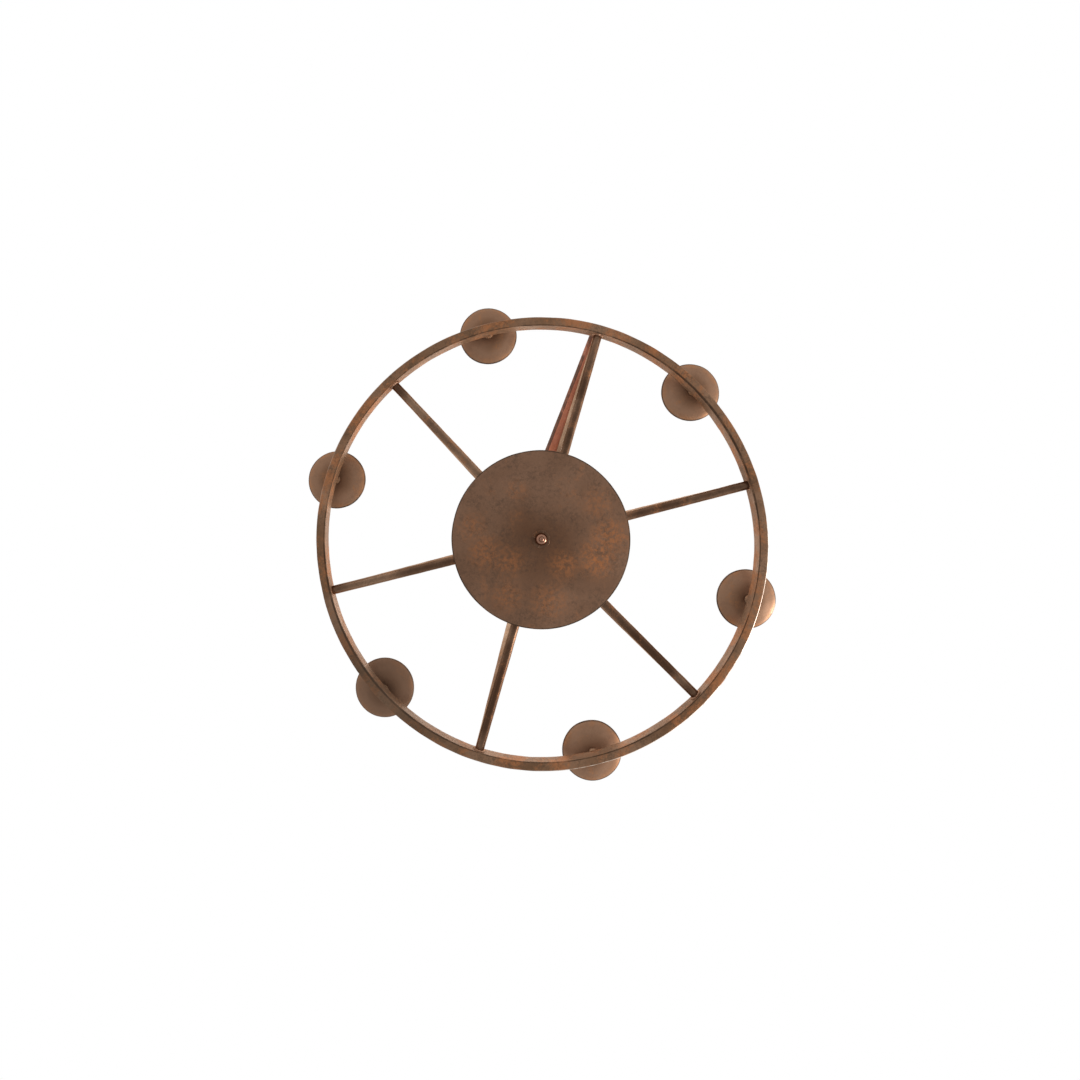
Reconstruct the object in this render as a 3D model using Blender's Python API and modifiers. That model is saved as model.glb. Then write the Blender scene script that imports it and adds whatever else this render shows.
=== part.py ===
"""Six-candle ring chandelier in steel, hung from one ring.

A flat bar rolled into a ring carries six candle pans.  Six level bars join the ring to a hub, six
stays rise from the ring to a collar on the central column, and a threaded rod through the column
clamps the dished bottom plate between the hub and a ball finial.  The loop on top of the rod swings
on the hanging ring.

Metres, +Z up.  The origin is where a ceiling hook bears on the inside of the hanging ring, and the
chandelier hangs below it.  Arm 1 lies along +X, and the candles stand midway between the arms.
"""

import math

import bmesh
import bpy
from mathutils import Matrix, Vector

# Ring
RING_DIAMETER = 0.610
RING_THICKNESS = 0.0115
RING_HEIGHT = 0.025
RING_CORNER = 0.0008
ARMS = 6
ARM_OFFSETS = (0.0, -0.7, -1.0, 0.2, -0.1, 0.5)   # degrees each hand-set arm stands off its even place

# Level bars, sloping stays, and the height at which the stays meet above the ring's underside
BAR_DIAMETER = 0.012
STAY_DIAMETER = 0.010
APEX_HEIGHT = 0.318

# Central column and the threaded rod that runs through it
ROD_DIAMETER = 0.010
COLUMN_WALL = 0.0025
HUB_DIAMETER = 0.056
HUB_COVER = 0.006          # hub metal above and below the bars
COLLAR_DIAMETER = 0.044
COLLAR_COVER = 0.0075      # collar metal above and below the stays' ends
TURNED_CORNER = 0.0015     # broken edge of hub and collar
SMALL_CORNER = 0.0003      # and of tube and washers
ROD_CORNER = 0.0008

# Bottom plate and finial
PLATE_DIAMETER = 0.240
PLATE_DISH = 0.010
PLATE_SHEET = 0.0015
PLATE_LIP = 0.0025
PLATE_CLEARANCE = 0.0075   # from the plate's rim up to the underside of the bars
SPACER_DIAMETER = 0.020
SPACER_CORNER = 0.0008
FINIAL_WASHER_DIAMETER = 0.024
FINIAL_WASHER_CORNER = 0.0005
FINIAL_BALL = 0.0165
FINIAL_COLLAR = 0.014
FINIAL_COLLAR_HEIGHT = 0.0025
FINIAL_SEAT = 0.82         # where the ball meets its collar, as a share of the ball's radius
FINIAL_NECK = 0.8          # neck under the tip, as a share of the tip's radius
FINIAL_TIP = 0.007
FINIAL_TIP_DROP = 0.35     # tip's centre below the ball, as a share of the tip's radius
FINIAL_HOLE = 0.55         # depth of the threaded hole, as a share of the ball's diameter

# Candle stations
STEM_DIAMETER = 0.013
STEM_HEIGHT = 0.0105
PAN_DIAMETER = 0.082
PAN_DEPTH = 0.0115
PAN_SHEET = 0.0012
PAN_RIM = 0.0045           # width of the steeper rim outside the pan's crease
PAN_LIP_WIDTH = 0.0008     # the rim's last stretch, almost upright
PAN_LIP_HEIGHT = 0.0022
PAN_CREASE_RISE = 0.5      # height of the crease, as a share of the pan's depth
PAN_CURVE = 1.4            # how late the cone rises between its flat middle and the crease
PAN_FLAT_MARGIN = 0.001    # flat middle outside the cup's wall
CUP_BORE = 0.0225
CUP_WALL = 0.0012
CUP_HEIGHT = 0.030
CUP_FLOOR = 0.0018
SCREW_DIAMETER = 0.005
SCREW_HEAD = 0.010
SCREW_HEAD_HEIGHT = 0.0028
SCREW_HEAD_CORNER = 0.0012

# Flat strip along the first stay
STRIP_SHEET = 0.0012
STRIP_LIP = 0.0075             # free edge folded away from the stay
STRIP_LIP_ANGLE = math.radians(55)
STRIP_OVERHANG_LOW = 0.0005    # beyond the stay's side, at the ring end
STRIP_OVERHANG_HIGH = 0.021    # and at the collar end
STRIP_START = 0.006            # stay left bare below the strip
STRIP_END = 0.014              # and above it

# Fastenings and hanging parts
WASHER_SHEET = 0.0015
WASHER_DIAMETER = 0.021
NUT_HEIGHT = 0.006
NUT_ACROSS_FLATS = 0.017
CUTTER_MARGIN = 0.002      # how far a cutter reaches past what it cuts
LOOP_WIRE = 0.006
LOOP_BORE = 0.022
LOOP_STUB_HEIGHT = 0.016
LOOP_STUB_WALL = 0.003
LOOP_STUB_CORNER = 0.001
LOOP_SHOULDER = 0.005      # height of the shoulder between stub and waist
LOOP_HOLE = 0.7            # depth of the threaded hole, as a share of the stub's height
LOOP_WAIST = 1.15          # waist under the eye, as a share of the wire's radius
LINK_WIRE = 0.006
LINK_BORE = 0.044

GAP = 0.0003               # between pieces that touch
ROD_CLEARANCE = 0.0004     # round the threaded rod and the screws
SWING_GAP = 0.0006         # between the loop and the hanging ring

# Facets round each turned shape
RING_STEPS = 84
PLATE_STEPS = 60
PAN_STEPS = 28
HUB_STEPS = 32
SMALL_STEPS = 20
SCREW_STEPS = 12

SOLID_NAME = "candle_ring_chandelier"

# Radii and levels that follow from the sizes above; levels are above the ring's underside
ring_outer = RING_DIAMETER / 2
ring_inner = ring_outer - RING_THICKNESS
ring_middle = ring_outer - RING_THICKNESS / 2
bar_level = RING_HEIGHT / 2
bar_radius = BAR_DIAMETER / 2
stay_radius = STAY_DIAMETER / 2
hub_radius = HUB_DIAMETER / 2
collar_radius = COLLAR_DIAMETER / 2
rod_radius = ROD_DIAMETER / 2
rod_hole = rod_radius + ROD_CLEARANCE
screw_hole = SCREW_DIAMETER / 2 + ROD_CLEARANCE

hub_bottom = bar_level - bar_radius - HUB_COVER
hub_top = bar_level + bar_radius + HUB_COVER
collar_bottom = APEX_HEIGHT - stay_radius - COLLAR_COVER
collar_top = APEX_HEIGHT + stay_radius + COLLAR_COVER

plate_rim = bar_level - bar_radius - PLATE_CLEARANCE
plate_top = plate_rim - PLATE_LIP - PLATE_DISH      # upper face at the plate's middle
plate_bottom = plate_top - PLATE_SHEET
finial_washer_bottom = plate_bottom - GAP - WASHER_SHEET
finial_top = finial_washer_bottom - GAP

washer_bottom = collar_top + GAP
nut_bottom = washer_bottom + WASHER_SHEET + GAP
loop_bottom = nut_bottom + NUT_HEIGHT + GAP
loop_hole_depth = LOOP_STUB_HEIGHT * LOOP_HOLE
eye_wire_radius = LOOP_WIRE / 2
eye_radius = (LOOP_BORE + LOOP_WIRE) / 2
eye_level = loop_bottom + LOOP_STUB_HEIGHT + eye_radius - eye_wire_radius / 3

link_wire_radius = LINK_WIRE / 2
link_radius = (LINK_BORE + LINK_WIRE) / 2
pivot_level = eye_level + LOOP_BORE / 2 - SWING_GAP - link_wire_radius
link_level = pivot_level + link_radius
hook_level = link_level + LINK_BORE / 2

pan_level = RING_HEIGHT + GAP + STEM_HEIGHT + GAP   # underside of the pan's flat middle
cup_level = pan_level + PAN_SHEET + GAP
cup_outer = CUP_BORE / 2 + CUP_WALL


def clear_scene():
    for old in list(bpy.data.objects):
        bpy.data.objects.remove(old, do_unlink=True)


def make_collection(name):
    collection = bpy.data.collections.new(name)
    bpy.context.scene.collection.children.link(collection)
    return collection


def make_material(name, colour, roughness, metallic):
    material = bpy.data.materials.new(name)
    material.use_nodes = True
    shader = material.node_tree.nodes["Principled BSDF"]
    shader.inputs["Base Color"].default_value = (*colour, 1.0)
    shader.inputs["Roughness"].default_value = roughness
    shader.inputs["Metallic"].default_value = metallic
    return material


clear_scene()
parts = make_collection(SOLID_NAME)
cutters = make_collection("cutters")

rust = make_material("rust_brown_finish", (0.165, 0.085, 0.052), 0.62, 0.55)
rust_light = make_material("rust_light_finish", (0.30, 0.15, 0.095), 0.58, 0.5)
plate_rust = make_material("plate_rust_finish", (0.135, 0.075, 0.048), 0.66, 0.45)
pan_rust = make_material("pan_rust_finish", (0.19, 0.11, 0.075), 0.5, 0.5)
finial_bronze = make_material("finial_polished_finish", (0.30, 0.17, 0.12), 0.28, 0.9)
zinc = make_material("zinc_fastener", (0.45, 0.43, 0.40), 0.4, 1.0)


def add_empty(name, location, parent=None):
    empty = bpy.data.objects.new(name, None)
    empty.empty_display_size = 0.03
    parts.objects.link(empty)
    empty.location = location
    empty.parent = parent
    return empty


# The loop swings about this pivot, so everything below the hanging ring is parented to it.
pivot = add_empty("swing_pivot", (0, 0, pivot_level - hook_level))
# Levels in this file are counted from the ring's underside.
datum = add_empty("ring_datum", (0, 0, -pivot_level), pivot)


def place(name, data, material, location=(0, 0, 0), rotation=(0, 0, 0), parent=datum):
    piece = bpy.data.objects.new(name, data)
    parts.objects.link(piece)
    data.materials.append(material)
    piece.location = location
    piece.rotation_euler = rotation
    piece.parent = parent
    return piece


def shade_round(piece):
    piece.data.shade_smooth()
    piece.data.set_sharp_from_angle(angle=math.radians(35))


def profile_mesh(name, points, closed):
    mesh = bpy.data.meshes.new(name)
    edges = [(i, i + 1) for i in range(len(points) - 1)]
    if closed:
        edges.append((len(points) - 1, 0))
    mesh.from_pydata([(r, 0, z) for r, z in points], edges, [])
    return mesh


def turned(name, points, material, steps, closed=False, sheet=0.0, **where):
    """A profile of (radius, height), its outer side from top to bottom, turned about Z."""
    piece = place(name, profile_mesh(name, points, closed), material, **where)
    screw = piece.modifiers.new("turn", "SCREW")
    screw.steps = steps
    screw.render_steps = steps
    screw.use_merge_vertices = True
    screw.merge_threshold = 0.00001
    if sheet:
        wall = piece.modifiers.new("sheet", "SOLIDIFY")
        wall.thickness = sheet
        wall.offset = -1
    return piece


def round_bar(name, start, end, radius, material):
    curve = bpy.data.curves.new(name, "CURVE")
    curve.dimensions = "3D"
    curve.bevel_depth = radius
    curve.bevel_resolution = 3
    curve.use_fill_caps = True
    line = curve.splines.new("POLY")
    line.points.add(1)
    line.points[0].co = (*start, 1)
    line.points[1].co = (*end, 1)
    return place(name, curve, material)


def tube_profile(inner, outer, bottom, top, corner):
    """Closed profile of a thick tube with broken outer corners."""
    return [
        (inner, top),
        (outer - corner, top),
        (outer, top - corner),
        (outer, bottom + corner),
        (outer - corner, bottom),
        (inner, bottom),
    ]


def cutter(name, mesh):
    piece = bpy.data.objects.new(name, mesh)
    cutters.objects.link(piece)
    piece.hide_render = True
    piece.display_type = "WIRE"
    piece.parent = datum
    return piece


def cylinder_mesh(name, radius, bottom, top, sides):
    mesh = bpy.data.meshes.new(name)
    shape = bmesh.new()
    bmesh.ops.create_cone(
        shape, cap_ends=True, segments=sides, radius1=radius, radius2=radius, depth=top - bottom,
        matrix=Matrix.Translation((0, 0, (top + bottom) / 2)),
    )
    shape.to_mesh(mesh)
    shape.free()
    return mesh


def boolean(piece, other, operation):
    cut = piece.modifiers.new(operation.lower(), "BOOLEAN")
    cut.operation = operation
    cut.object = other


def make_ring():
    c = RING_CORNER
    profile = [
        (ring_inner + c, RING_HEIGHT),
        (ring_outer - c, RING_HEIGHT),
        (ring_outer, RING_HEIGHT - c),
        (ring_outer, c),
        (ring_outer - c, 0),
        (ring_inner + c, 0),
        (ring_inner, c),
        (ring_inner, RING_HEIGHT - c),
    ]
    shade_round(turned("ring", profile, rust, RING_STEPS, closed=True))


def polar(radius, angle, level):
    return Vector((radius * math.cos(angle), radius * math.sin(angle), level))


def stay_ends():
    """Both ends of a stay as (radius, level), square cut just clear of the ring and the collar."""
    slope = math.atan2(APEX_HEIGHT - RING_HEIGHT, ring_middle - collar_radius)
    for _ in range(8):  # the cut moves with the slope, and the slope with the cut
        low = (ring_middle, RING_HEIGHT + GAP + stay_radius * math.cos(slope))
        high = (collar_radius + GAP + stay_radius * math.sin(slope), APEX_HEIGHT)
        slope = math.atan2(high[1] - low[1], low[0] - high[0])
    return low, high, slope


def arm_angles():
    return [math.tau * arm / ARMS + math.radians(offset) for arm, offset in enumerate(ARM_OFFSETS)]


def make_arms():
    low, high, _ = stay_ends()
    for arm, angle in enumerate(arm_angles(), start=1):
        round_bar(
            f"level_bar_{arm}",
            polar(hub_radius + GAP, angle, bar_level),
            polar(ring_inner - GAP, angle, bar_level),
            bar_radius, rust,
        )
        round_bar(
            f"stay_{arm}", polar(low[0], angle, low[1]), polar(high[0], angle, high[1]),
            stay_radius, rust_light,
        )


def make_strip():
    """A tapered strip on the first stay's upper side, wider towards the collar, its free edge
    folded away from the stay."""
    low, high, slope = stay_ends()
    length = math.hypot(high[0] - low[0], high[1] - low[1]) - STRIP_START - STRIP_END
    lip_side = STRIP_LIP * math.cos(STRIP_LIP_ANGLE)
    lip_rise = STRIP_LIP * math.sin(STRIP_LIP_ANGLE)
    mesh = bpy.data.meshes.new("stay_strip")
    shape = bmesh.new()
    # Local X runs up the stay, Y to the arm's -Y side, Z away from the stay.
    ends = []
    for along, overhang in ((0.0, STRIP_OVERHANG_LOW), (length, STRIP_OVERHANG_HIGH)):
        free_edge = stay_radius + overhang
        ends.append([
            shape.verts.new((along, -stay_radius / 2, 0)),
            shape.verts.new((along, free_edge, 0)),
            shape.verts.new((along, free_edge + lip_side, lip_rise)),
        ])
    near, far = ends
    for i in range(2):
        shape.faces.new((near[i], near[i + 1], far[i + 1], far[i]))
    shape.to_mesh(mesh)
    shape.free()
    up_stay = Vector((-math.cos(slope), 0, math.sin(slope)))
    right = Vector((0, -1, 0))
    away = up_stay.cross(right)
    foot = Vector((low[0], 0, low[1])) + up_stay * STRIP_START
    strip = place("stay_strip", mesh, rust_light,
                  location=foot + away * (stay_radius + GAP + STRIP_SHEET / 2))
    strip.rotation_euler = Matrix((up_stay, right, away)).transposed().to_euler()
    wall = strip.modifiers.new("sheet", "SOLIDIFY")
    wall.thickness = STRIP_SHEET
    wall.offset = 0


def make_column():
    hub = tube_profile(rod_hole, hub_radius, hub_bottom, hub_top, TURNED_CORNER)
    shade_round(turned("hub", hub, rust, HUB_STEPS, closed=True))
    collar = tube_profile(rod_hole, collar_radius, collar_bottom, collar_top, TURNED_CORNER)
    shade_round(turned("top_collar", collar, rust, HUB_STEPS, closed=True))
    column_outer = rod_hole + COLUMN_WALL
    tube = tube_profile(rod_hole, column_outer, hub_top + GAP, collar_bottom - GAP, SMALL_CORNER)
    shade_round(turned("column_tube", tube, rust, SMALL_STEPS, closed=True))
    end = ROD_CORNER
    top = loop_bottom + loop_hole_depth - GAP
    bottom = finial_top - finial_hole_depth() + GAP
    rod = [(0, top), (rod_radius - end, top), (rod_radius, top - end),
           (rod_radius, bottom + end), (rod_radius - end, bottom), (0, bottom)]
    shade_round(turned("threaded_rod", rod, zinc, SMALL_STEPS))
    washer = tube_profile(rod_hole, max(WASHER_DIAMETER / 2, rod_hole + COLUMN_WALL), washer_bottom,
                          washer_bottom + WASHER_SHEET, SMALL_CORNER)
    shade_round(turned("top_washer", washer, zinc, SMALL_STEPS, closed=True))


def make_nut():
    mesh = cylinder_mesh("lock_nut", NUT_ACROSS_FLATS / math.sqrt(3), nut_bottom,
                         nut_bottom + NUT_HEIGHT, 6)
    nut = place("lock_nut", mesh, zinc)
    bore = cutter("lock_nut_bore", cylinder_mesh(
        "lock_nut_bore", rod_hole, nut_bottom - CUTTER_MARGIN, nut_bottom + NUT_HEIGHT + CUTTER_MARGIN,
        SMALL_STEPS))
    boolean(nut, bore, "DIFFERENCE")


def finial_hole_depth():
    return FINIAL_BALL * FINIAL_HOLE


def dish_height(radius):
    """Height of the plate's dish above its middle."""
    return PLATE_DISH * (radius / (PLATE_DIAMETER / 2)) ** 2


def make_plate():
    spacer_radius = SPACER_DIAMETER / 2
    spacer = tube_profile(rod_hole, spacer_radius, plate_top + GAP + dish_height(spacer_radius),
                          hub_bottom - GAP, SPACER_CORNER)
    shade_round(turned("plate_spacer", spacer, rust, SMALL_STEPS, closed=True))
    outer = PLATE_DIAMETER / 2
    rings = 4
    dish = [(outer, plate_bottom + PLATE_DISH + PLATE_LIP + PLATE_SHEET)]
    for i in range(rings, -1, -1):
        radius = rod_hole + (outer - rod_hole) * i / rings
        dish.append((radius, plate_bottom + dish_height(radius)))
    shade_round(turned("bottom_plate", dish, plate_rust, PLATE_STEPS, sheet=PLATE_SHEET))
    washer = tube_profile(rod_hole, FINIAL_WASHER_DIAMETER / 2, finial_washer_bottom,
                          finial_washer_bottom + WASHER_SHEET, FINIAL_WASHER_CORNER)
    shade_round(turned("finial_washer", washer, rust, SMALL_STEPS, closed=True))


def make_finial():
    """Ball finial with a blind hole for the rod; its origin is on its own turning axis."""
    ball = FINIAL_BALL / 2
    collar = FINIAL_COLLAR / 2
    hole = rod_hole
    depth = finial_hole_depth()
    centre = -FINIAL_COLLAR_HEIGHT - ball * FINIAL_SEAT
    shape = [(0, -depth), (hole, -depth), (hole, 0), (collar, 0),
             (collar, -FINIAL_COLLAR_HEIGHT)]
    tip = FINIAL_TIP / 2
    neck = tip * FINIAL_NECK
    start = math.asin(FINIAL_SEAT)
    finish = -math.acos(neck / ball)
    ball_steps = 8
    for i in range(ball_steps + 1):
        angle = start + (finish - start) * i / ball_steps
        shape.append((ball * math.cos(angle), centre + ball * math.sin(angle)))
    nub = centre - ball - tip * FINIAL_TIP_DROP
    for turn in (0, -30, -60):
        angle = math.radians(turn)
        shape.append((tip * math.cos(angle), nub + tip * math.sin(angle)))
    shape.append((0, nub - tip))
    shade_round(turned("finial", shape, finial_bronze, SMALL_STEPS, location=(0, 0, finial_top)))


def candle_angles():
    return [math.tau * (station + 0.5) / ARMS for station in range(ARMS)]


def make_stem(number, angle):
    outer = STEM_DIAMETER / 2
    stem = [(screw_hole, STEM_HEIGHT), (outer, STEM_HEIGHT), (outer, 0), (screw_hole, 0)]
    foot = polar(ring_middle, angle, RING_HEIGHT + GAP)
    shade_round(turned(f"stem_{number}", stem, rust, SMALL_STEPS, closed=True, location=foot))


def make_pan(number, angle):
    """Dished pan: flat middle, shallow cone, crease, then a steeper rim."""
    outer = PAN_DIAMETER / 2
    crease = outer - PAN_RIM
    flat = cup_outer + PAN_FLAT_MARGIN
    rise = PAN_DEPTH * PAN_CREASE_RISE
    cone_steps = 2
    dish = [(outer, PAN_DEPTH), (outer - PAN_LIP_WIDTH, PAN_DEPTH - PAN_LIP_HEIGHT)]
    for i in range(cone_steps, -1, -1):
        share = i / cone_steps
        dish.append((flat + (crease - flat) * share, rise * share ** PAN_CURVE))
    dish.append((screw_hole, 0))
    seat = polar(ring_middle, angle, pan_level)
    shade_round(turned(f"pan_{number}", dish, pan_rust, PAN_STEPS, sheet=PAN_SHEET, location=seat))


def make_cup(number, angle):
    bore = CUP_BORE / 2
    floor = CUP_FLOOR
    cup = [
        (bore, CUP_HEIGHT),
        (cup_outer, CUP_HEIGHT),
        (cup_outer, 0),
        (screw_hole, 0),
        (screw_hole, floor),
        (bore, floor),
    ]
    seat = polar(ring_middle, angle, cup_level)
    shade_round(turned(f"candle_cup_{number}", cup, pan_rust, SMALL_STEPS, closed=True, location=seat))
    head_level = cup_level + floor + GAP
    shank = head_level - RING_HEIGHT - 2 * GAP
    screw = [
        (0, SCREW_HEAD_HEIGHT),
        (SCREW_HEAD / 2 - SCREW_HEAD_CORNER, SCREW_HEAD_HEIGHT),
        (SCREW_HEAD / 2, SCREW_HEAD_HEIGHT - SCREW_HEAD_CORNER),
        (SCREW_HEAD / 2, 0),
        (SCREW_DIAMETER / 2, 0),
        (SCREW_DIAMETER / 2, -shank),
        (0, -shank),
    ]
    top = polar(ring_middle, angle, head_level)
    shade_round(turned(f"cup_screw_{number}", screw, zinc, SCREW_STEPS, location=top))


def torus_mesh(name, major, minor, across, around, axis):
    """A wire ring about the world X or Y axis through the object's origin."""
    bpy.ops.mesh.primitive_torus_add(
        major_radius=major, minor_radius=minor, major_segments=across, minor_segments=around)
    made = bpy.context.object
    mesh = made.data
    bpy.data.objects.remove(made, do_unlink=True)
    turn = Matrix.Rotation(math.radians(90), 4, "Y" if axis == "X" else "X")
    mesh.transform(turn)
    mesh.name = name
    return mesh


def make_loop():
    """Eye on a threaded stub, one casting; the hanging ring passes through the eye along X."""
    stub_radius = rod_hole + LOOP_STUB_WALL
    waist = eye_wire_radius * LOOP_WAIST
    shoulder = loop_bottom + LOOP_STUB_HEIGHT - LOOP_SHOULDER
    top = loop_bottom + LOOP_STUB_HEIGHT + eye_wire_radius / 2
    stub = [
        (0, top),
        (waist, top),
        (waist * LOOP_WAIST, loop_bottom + LOOP_STUB_HEIGHT - LOOP_STUB_CORNER),
        (stub_radius, shoulder),
        (stub_radius, loop_bottom + LOOP_STUB_CORNER),
        (stub_radius - LOOP_STUB_CORNER, loop_bottom),
        (rod_hole, loop_bottom),
        (rod_hole, loop_bottom + loop_hole_depth),
        (0, loop_bottom + loop_hole_depth),
    ]
    loop = turned("hanging_loop", stub, rust, SMALL_STEPS)
    eye = cutter("hanging_loop_eye", torus_mesh("hanging_loop_eye", eye_radius, eye_wire_radius,
                                                28, 10, "X"))
    eye.location = (0, 0, eye_level)
    boolean(loop, eye, "UNION")
    shade_round(loop)


def make_link():
    mesh = torus_mesh("hanging_ring", link_radius, link_wire_radius, 36, 10, "Y")
    link = place("hanging_ring", mesh, rust, location=(0, 0, link_level - hook_level), parent=None)
    shade_round(link)


make_ring()
make_arms()
make_strip()
make_column()
make_nut()
make_plate()
make_finial()
for count, direction in enumerate(candle_angles(), start=1):
    make_stem(count, direction)
    make_pan(count, direction)
    make_cup(count, direction)
make_loop()
make_link()
print("pieces:", len([o for o in parts.objects if o.type != "EMPTY"]))
print("ring underside below the hook point (mm):", round(hook_level * 1000, 2))
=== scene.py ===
import math

import bmesh
import bpy
from mathutils import Matrix, Vector, noise


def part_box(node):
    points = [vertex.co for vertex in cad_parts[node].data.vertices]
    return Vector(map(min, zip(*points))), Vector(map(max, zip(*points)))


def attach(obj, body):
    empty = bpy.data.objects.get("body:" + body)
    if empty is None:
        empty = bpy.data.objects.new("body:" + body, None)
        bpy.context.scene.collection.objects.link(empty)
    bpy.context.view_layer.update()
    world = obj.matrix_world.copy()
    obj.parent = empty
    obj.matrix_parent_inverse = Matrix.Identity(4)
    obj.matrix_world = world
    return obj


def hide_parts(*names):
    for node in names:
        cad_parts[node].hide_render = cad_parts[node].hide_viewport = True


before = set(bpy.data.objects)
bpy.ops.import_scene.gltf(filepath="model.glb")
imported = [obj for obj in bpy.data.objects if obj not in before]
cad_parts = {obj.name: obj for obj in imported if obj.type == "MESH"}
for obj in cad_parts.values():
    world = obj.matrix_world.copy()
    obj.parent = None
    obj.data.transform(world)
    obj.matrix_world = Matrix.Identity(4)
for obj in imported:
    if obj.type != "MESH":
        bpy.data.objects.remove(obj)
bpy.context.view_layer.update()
print("frame loaded:", len(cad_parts), "nodes")

# Levels are counted from the underside of the ring. Arm 1 lies along +X.
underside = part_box("ring")[0].z
armShifts = (0, -0.7, -1.0, 0.2, -0.1, 0.5)   # degrees that each arm stands off its even place
armAngles = [math.radians(60 * k + shift) for k, shift in enumerate(armShifts)]
candleAngles = [math.tau * (k + 0.5) / 6 for k in range(6)]

# The ring's sizes come first because its finish needs them too. Wave and dents are its unevenness,
# and flat is how far it is pulled in round the azimuth flatAt and the one opposite.
ring = dict(outer=0.305, thickness=0.0115, height=0.025, corner=0.0009, steps=300, levels=6,
            wave=0.0006, waveCount=3.1, waveShift=0.4, dents=0.00028, dentSize=0.017, flat=0.0019, flatAt=44)
ringInner = ring["outer"] - ring["thickness"]


def addNode(tree, kind, inputs=None, **settings):
    made = tree.nodes.new(kind)
    for setting, value in settings.items():
        setattr(made, setting, value)
    for socket, value in (inputs or {}).items():
        if isinstance(value, bpy.types.NodeSocket):
            tree.links.new(value, made.inputs[socket])
        else:
            made.inputs[socket].default_value = value
    return made


def mathNode(tree, operation, first, second=0.0):
    return addNode(tree, "ShaderNodeMath", {0: first, 1: second}, operation=operation).outputs[0]


def smoothRange(tree, value, low, high, toLow=0.0, toHigh=1.0):
    sockets = {"Value": value, "From Min": low, "From Max": high, "To Min": toLow, "To Max": toHigh}
    return addNode(tree, "ShaderNodeMapRange", sockets, interpolation_type="SMOOTHSTEP").outputs[0]


def noiseNode(tree, vector, scale, detail=4.0, rough=0.55, warp=0.0):
    sockets = {"Vector": vector, "Scale": scale, "Detail": detail, "Roughness": rough, "Distortion": warp}
    return addNode(tree, "ShaderNodeTexNoise", sockets).outputs["Fac"]


def mixColour(tree, share, first, second):
    mix = addNode(tree, "ShaderNodeMix", data_type="RGBA", clamp_factor=True)
    for socket, value in ((mix.inputs[0], share), (mix.inputs[6], first), (mix.inputs[7], second)):
        if isinstance(value, bpy.types.NodeSocket):
            tree.links.new(value, socket)
        elif isinstance(value, tuple):
            socket.default_value = (*value, 1.0)
        else:
            socket.default_value = value
    return mix.outputs[2]


def newGroup(name, inputs, outputs):
    # inputs are (name, default) pairs, a default of None makes a vector socket
    group = bpy.data.node_groups.new(name, "ShaderNodeTree")
    for title, default in inputs:
        kind = "NodeSocketVector" if default is None else "NodeSocketFloat"
        socket = group.interface.new_socket(name=title, in_out="INPUT", socket_type=kind)
        if default is not None:
            socket.default_value = default
    for title in outputs:
        group.interface.new_socket(name=title, in_out="OUTPUT", socket_type="NodeSocketFloat")
    return group, group.nodes.new("NodeGroupInput").outputs, group.nodes.new("NodeGroupOutput").inputs


def useGroup(tree, group, inputs):
    made = addNode(tree, "ShaderNodeGroup", node_tree=group)
    for socket, value in inputs.items():
        if isinstance(value, bpy.types.NodeSocket):
            tree.links.new(value, made.inputs[socket])
        else:
            made.inputs[socket].default_value = value
    return made.outputs


# Shared surface effects: how much of each noise goes into the blooms, the edges, the grain and the dust
patina = dict(broadShare=0.66, brokenShare=0.34, finer=9.0, bloomStart=0.72, coverPull=0.5, bloomEdge=0.13,
              speckScale=200.0, clusterScale=46.0, clusterLeast=0.2, toneScale=11.0)
wearBreaks = dict(scale=75.0, edgeFrom=0.515, edgeTo=0.60)
grainShares = dict(grit=0.45, lumps=0.5, pits=0.3, lumpScale=0.16, pitScale=0.7, pitSize=0.22)
dustLook = dict(cover=0.35, flatFrom=0.55, flatTo=0.98, driftScale=48.0, driftLeast=0.25)


def makeMottle():
    # cloudy rust blooms with broken edges, fine specks, and a slow change of tone
    group, given, result = newGroup(
        "patinaMottle",
        [("Vector", None), ("Bloom Scale", 26.0), ("Bloom Cover", 0.4)],
        ["Blooms", "Specks", "Tone"])
    place = given["Vector"]
    broad = noiseNode(group, place, given["Bloom Scale"], detail=5.0, rough=0.6, warp=0.35)
    fineScale = mathNode(group, "MULTIPLY", given["Bloom Scale"], patina["finer"])
    broken = noiseNode(group, place, fineScale, detail=5.0, rough=0.7)
    mixed = mathNode(group, "ADD", mathNode(group, "MULTIPLY", broad, patina["broadShare"]),
                     mathNode(group, "MULTIPLY", broken, patina["brokenShare"]))
    pull = mathNode(group, "MULTIPLY", given["Bloom Cover"], patina["coverPull"])
    start = mathNode(group, "SUBTRACT", patina["bloomStart"], pull)
    end = mathNode(group, "ADD", start, patina["bloomEdge"])
    group.links.new(smoothRange(group, mixed, start, end), result["Blooms"])
    specks = noiseNode(group, place, patina["speckScale"], detail=6.0, rough=0.9, warp=0.4)
    specks = smoothRange(group, specks, low=0.42, high=0.62)
    clusters = noiseNode(group, place, patina["clusterScale"], detail=4.0, rough=0.6, warp=0.5)
    clusters = smoothRange(group, clusters, low=0.36, high=0.64, toLow=patina["clusterLeast"])
    group.links.new(mathNode(group, "MULTIPLY", specks, clusters), result["Specks"])
    slow = noiseNode(group, place, patina["toneScale"], detail=3.0, rough=0.5, warp=0.3)
    group.links.new(smoothRange(group, slow, low=0.34, high=0.68), result["Tone"])
    return group


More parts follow.
